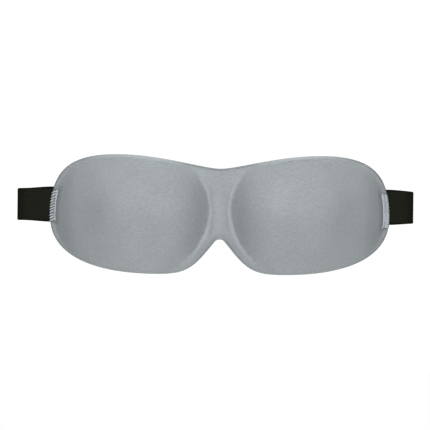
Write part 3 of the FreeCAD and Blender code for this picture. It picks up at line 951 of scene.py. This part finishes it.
def tape_ground(name, node, sewn_y, face_y, material):
    """Thin woven ground of a tape, with soft edges; sewn_y lies against the strap."""
    low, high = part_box(node)
    rows = []
    for shrink, share in ((0.15, 0.0), (0.0, 0.3), (0.0, 0.7), (0.15, 1.0)):
        x, z = rounded_rectangle(low, high, shrink, 0.8).T
        rows.append(np.column_stack([x, np.full(len(x), sewn_y + (face_y - sewn_y) * share), z]))
    faces = capped_tube(len(rows), len(rows[0]), face_y > sewn_y)
    return make_object(name, np.vstack(rows), faces, material)


def tape_grid(node, pitch, margin):
    """Places of the hooks or loops on a tape, in rows that are shifted in turn."""
    x0, x1, z0, z1 = node_edges(node, margin)
    places = []
    for row, z in enumerate(np.arange(z0, z1, pitch)):
        for x in np.arange(x0 + (row % 2) * pitch / 2, x1, pitch):
            places.append((x, z))
    return places


def hook_tape():
    """Stiff little hooks that all lean over sideways, on a thin ground."""
    low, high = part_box("hook_tape")
    sewn, tip = high.y / MM - 0.02, low.y / MM + 0.04
    ground = sewn - TAPE_GROUND
    hooks = []
    for x, z in tape_grid("hook_tape", HOOK_PITCH, 1.2):
        lean = 1 if round(z / HOOK_PITCH) % 2 else -1
        hooks.append([(x, ground + 0.1, z), (x, ground - 0.2, z), (x + lean * 0.05, tip + 0.1, z),
                      (x + lean * 0.28, tip + 0.08, z), (x + lean * 0.36, tip + 0.25, z)])
    parts = [tape_ground("hook_ground", "hook_tape", sewn, ground, hook_nylon),
             thread_mesh("hooks", hooks, 0.085, hook_nylon, roundness=1, steps=2)]
    obj = joined("hook_tape_strip", parts, hook_nylon)
    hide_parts("hook_tape")
    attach(obj, "closure_tab")


def loop_tape():
    """Soft pile of small loops in random directions, on a thin ground."""
    rng = np.random.default_rng(5)
    low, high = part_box("loop_tape")
    sewn, top = low.y / MM + 0.02, high.y / MM - 0.08
    ground = sewn + TAPE_GROUND
    loops = []
    for x, z in tape_grid("loop_tape", LOOP_PITCH, 1.0):
        turn = rng.uniform(0, 2 * math.pi)
        reach = rng.uniform(0.35, 0.6)
        rise = top - rng.uniform(0.0, 0.2)
        dx, dz = reach * math.cos(turn), reach * math.sin(turn)
        arch = ((-0.6, ground - 0.1), (-1, rise - 0.1), (0, rise + 0.08), (1, rise - 0.1),
                (0.6, ground - 0.1))
        loops.append([(x + dx * share, y, z + dz * share) for share, y in arch])
    parts = [tape_ground("loop_ground", "loop_tape", sewn, ground, loop_nylon),
             thread_mesh("pile", loops, 0.07, loop_nylon, roundness=1, steps=2)]
    obj = joined("loop_tape_strip", parts, loop_nylon)
    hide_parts("loop_tape")
    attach(obj, "right_back_strap")


# ---------------------------------------------------------------- light, floor and camera
# metres and watts from here on
SWEEP_RADIUS, FLOOR_REACH, FLOOR_LEVEL = 9, 6.0, -1.0
CAMERA_PLACE, CAMERA_ROLL = (-0.00324, -0.70, -0.0075), math.radians(-0.55)
LENS, SENSOR = 87.8, 36.0     # millimetres
LAMP_DISTANCE = 1.6
# name: azimuth from the front, elevation, size and power
LAMPS = {
    "top": (0, 80, 0.5, 9.6),
    "high_front": (0, 58, 0.5, 15.4),
    "low_front": (0, -50, 0.5, 14.4),
    "floor_bounce": (0, -70, 0.5, 7.7),
    "left_key": (-28, 5, 0.5, 5.4),
    "right_key": (28, 5, 0.5, 5.4),
    "left_side": (-85, 5, 0.5, 4.4),
    "right_side": (85, 5, 0.5, 4.4),
    "behind_high": (180, 35, 0.8, 45),
    "behind_low": (180, -30, 0.8, 20),
}


def soft_light(name, azimuth, elevation, size, power):
    """Square soft light that points at the mask; azimuth 0 is in front of it."""
    turn, rise = math.radians(azimuth), math.radians(elevation)
    data = bpy.data.lights.new(name, "AREA")
    data.shape = "RECTANGLE"
    data.size = data.size_y = size
    data.energy = power
    lamp = bpy.data.objects.new(name, data)
    bpy.context.collection.objects.link(lamp)
    lamp.location = (LAMP_DISTANCE * math.sin(turn) * math.cos(rise),
                     -LAMP_DISTANCE * math.cos(turn) * math.cos(rise),
                     LAMP_DISTANCE * math.sin(rise))
    lamp.rotation_euler = (-lamp.location).to_track_quat("-Z", "Y").to_euler()


def backdrop(obj, strength):
    """Glows evenly and is seen by the camera only, so it doesn't light the mask."""
    material, tree = new_material(obj.name)
    out = add(tree, "ShaderNodeOutputMaterial")
    glow = add(tree, "ShaderNodeEmission", {"Strength": strength})
    link(tree, glow.outputs[0], out.inputs[0])
    obj.data.materials.append(material)
    for flag in ("visible_diffuse", "visible_glossy", "visible_transmission",
                 "visible_volume_scatter", "visible_shadow"):
        setattr(obj, flag, False)


def studio():
    """White sweep all round, a plain pale floor well below the mask, and faint sky light."""
    bpy.ops.mesh.primitive_uv_sphere_add(radius=SWEEP_RADIUS, segments=48, ring_count=24)
    sweep = bpy.context.object
    sweep.name = "studio_sweep"
    backdrop(sweep, 1.02)
    bpy.ops.mesh.primitive_plane_add(size=2 * FLOOR_REACH, location=(0, 0, FLOOR_LEVEL))
    floor = bpy.context.object
    floor.name = "floor"
    backdrop(floor, 1.0)
    world = bpy.data.worlds.new("studio")
    bpy.context.scene.world = world
    world.use_nodes = True
    sky = world.node_tree.nodes["Background"]
    sky.inputs["Color"].default_value = (0.86, 0.97, 1, 1)
    sky.inputs["Strength"].default_value = 0.04


def camera():
    """Camera in front of the mask, level, very slightly rolled."""
    data = bpy.data.cameras.new("camera")
    data.lens = LENS
    data.sensor_width = SENSOR
    cam = bpy.data.objects.new("camera", data)
    bpy.context.collection.objects.link(cam)
    cam.location = CAMERA_PLACE
    cam.rotation_euler = (math.pi / 2, CAMERA_ROLL, 0)
    bpy.context.scene.camera = cam


# ---------------------------------------------------------------- the whole mask
outer_fabric()
inner_lining()
foam_core()
straps()
bartack("left")
bartack("right")
hook_tape()
loop_tape()
running_seam("hook_tape_seam", "hook_tape_stitching", "closure_tab", 1)
running_seam("loop_tape_seam", "loop_tape_stitching", "right_back_strap", -1)
studio()
for lamp_name, lamp_values in LAMPS.items():
    soft_light(lamp_name, *lamp_values)
camera()
bpy.context.scene.view_settings.view_transform = "Standard"
bpy.context.scene.view_settings.gamma = 0.78
